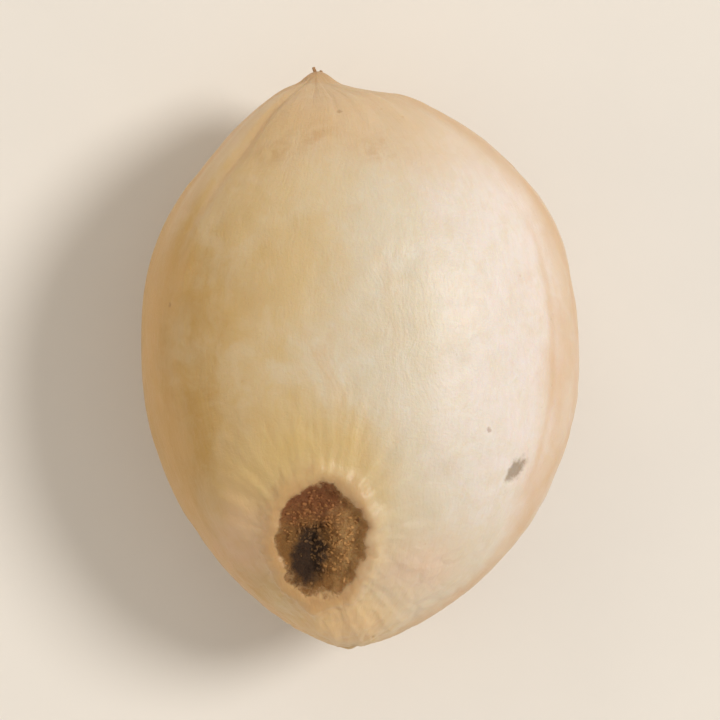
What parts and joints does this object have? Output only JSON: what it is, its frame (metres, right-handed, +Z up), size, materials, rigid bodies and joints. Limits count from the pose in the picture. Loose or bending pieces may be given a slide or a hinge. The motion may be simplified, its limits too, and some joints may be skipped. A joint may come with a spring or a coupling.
{
  "type": "sorghum grain",
  "caption": "Loose threshed grain of white sorghum, rounded and slightly flattened, with a dark hilum scar near its base and a small style tip.",
  "frame": {"origin": "middle of the grain's footprint, on the surface that it rests on", "axes": "+Y along the grain from its base to its style tip, +Z up out of the hilum side, +X across its width"},
  "size_m": [0.0038, 0.005, 0.0028],
  "materials": {
    "seed_coat": "smooth plant skin, pearly cream to tan with a low waxy gloss"
  },
  "bodies": {
    "root": {"grain": "seed_coat"}
  },
  "joints": []
}
